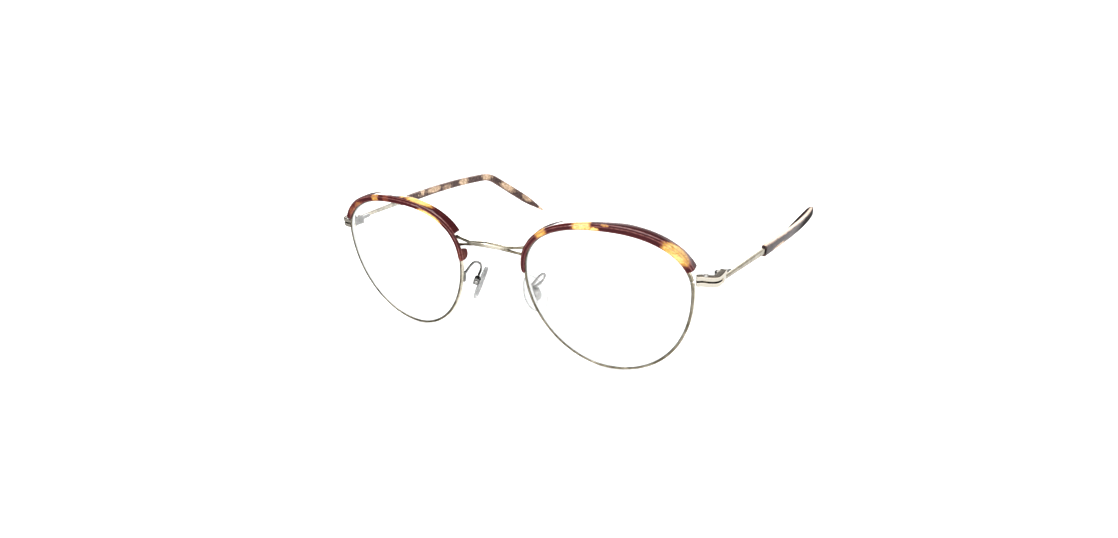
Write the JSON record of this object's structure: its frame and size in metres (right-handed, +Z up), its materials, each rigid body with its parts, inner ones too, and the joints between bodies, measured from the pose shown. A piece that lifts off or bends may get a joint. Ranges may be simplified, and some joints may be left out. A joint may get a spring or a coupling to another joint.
{
  "type": "half rim eyeglasses",
  "caption": "Browline eyeglasses with round metal eyewires, tortoiseshell brows, a forked metal bridge, swinging nose pads and folding temples with curved ear tips.",
  "frame": {"origin": "centre of the underside of the open frame's bounding box, where it stands on its rims and temple tips", "axes": "+X towards the wearer's left, +Y from the front back towards the ears, +Z up as it stands on a table"},
  "size_m": [0.1518, 0.1414, 0.0454],
  "materials": {
    "rim_metal": "polished pale champagne plating",
    "steel": "satin antique silver plating",
    "screw_steel": "polished",
    "acetate": "polished tortoiseshell, dark burgundy brown with amber patches",
    "lens": "clear demonstration lens",
    "pad_plastic": "clear soft plastic"
  },
  "bodies": {
    "front": {"bridge": "rim_metal", "eyewire_left": "rim_metal", "lens_left": "lens", "brow_left": "acetate", "endpiece_left": "steel", "closing_block_left": "steel", "rim_screw_left": "screw_steel", "hinge_front_left": "steel", "hinge_screw_left": "screw_steel", "pad_arm_left": "steel", "pad_box_left": "steel", "pad_screw_left": "screw_steel", "eyewire_right": "rim_metal", "lens_right": "lens", "brow_right": "acetate", "endpiece_right": "steel", "closing_block_right": "steel", "rim_screw_right": "screw_steel", "hinge_front_right": "steel", "hinge_screw_right": "screw_steel", "pad_arm_right": "steel", "pad_box_right": "steel", "pad_screw_right": "screw_steel"},
    "temple_left": {"hinge_temple_left": "steel", "temple_shaft_left": "rim_metal", "temple_tip_left": "acetate"},
    "temple_right": {"hinge_temple_right": "steel", "temple_shaft_right": "rim_metal", "temple_tip_right": "acetate"},
    "pad_left": {"nose_pad_left": "pad_plastic", "pad_insert_left": "steel"},
    "pad_right": {"nose_pad_right": "pad_plastic", "pad_insert_right": "steel"}
  },
  "joints": [
    {"name": "temple_fold_left", "type": "hinge", "parent": "front", "child": "temple_left", "pos_m": [0.0629, -0.05592, 0.0309], "axis": [0, -0.0762, 0.9971], "range_deg": [0, 92]},
    {"name": "temple_fold_right", "type": "hinge", "parent": "front", "child": "temple_right", "pos_m": [-0.0629, -0.05592, 0.0309], "axis": [0, 0.0762, -0.9971], "range_deg": [0, 86]},
    {"name": "pad_rock_left", "type": "hinge", "parent": "front", "child": "pad_left", "pos_m": [0.01078, -0.06099, 0.0186], "axis": [0.4537, 0.875, 0.169], "range_deg": [-10, 6]},
    {"name": "pad_rock_right", "type": "hinge", "parent": "front", "child": "pad_right", "pos_m": [-0.01078, -0.06099, 0.0186], "axis": [0.4537, -0.875, -0.169], "range_deg": [-10, 6]}
  ]
}
